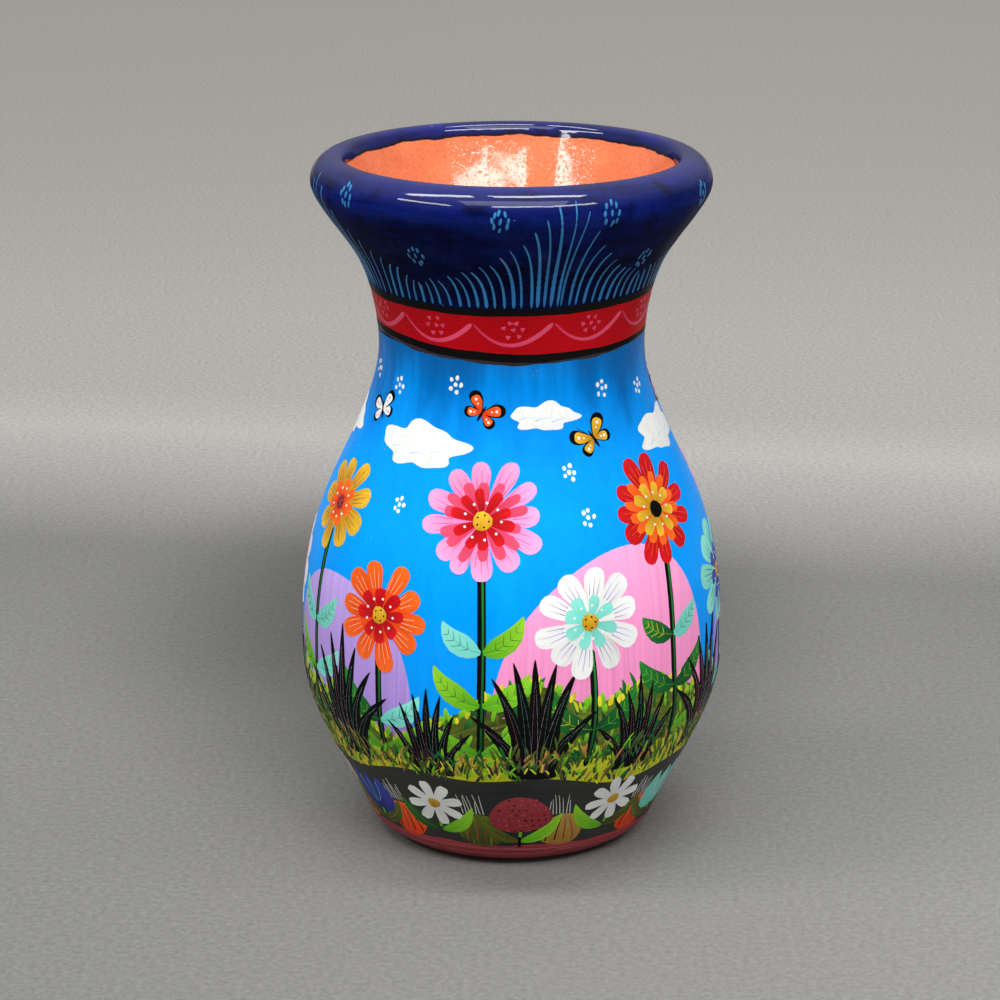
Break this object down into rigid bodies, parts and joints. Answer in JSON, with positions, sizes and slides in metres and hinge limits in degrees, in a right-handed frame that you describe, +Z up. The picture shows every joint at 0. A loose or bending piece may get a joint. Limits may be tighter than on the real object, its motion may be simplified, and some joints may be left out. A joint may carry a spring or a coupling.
{
  "type": "pottery vase",
  "caption": "Hand-painted earthenware vase with a swelling belly, a narrow neck and a flared collar that ends in a thick rolled rim, for standing flowers in.",
  "frame": {"origin": "centre of the flat base, on the surface that the vase stands on", "axes": "+Z up along the axis that the vase is turned about, -Y towards the side that the picture shows"},
  "size_m": [0.155, 0.155, 0.254],
  "materials": {
    "foot_paint": "varnished maroon paint on earthenware",
    "meadow_paint": "varnished yellow-green paint on earthenware",
    "sky_paint": "varnished sky-blue paint on earthenware",
    "scarlet_paint": "varnished scarlet paint on earthenware",
    "cobalt_paint": "varnished cobalt paint on earthenware, very glossy"
  },
  "bodies": {
    "root": {"floor_slab": "foot_paint", "lower_bowl": "meadow_paint", "shoulder": "sky_paint", "neck_ring": "scarlet_paint", "collar": "cobalt_paint", "rim_roll": "cobalt_paint"}
  },
  "joints": []
}
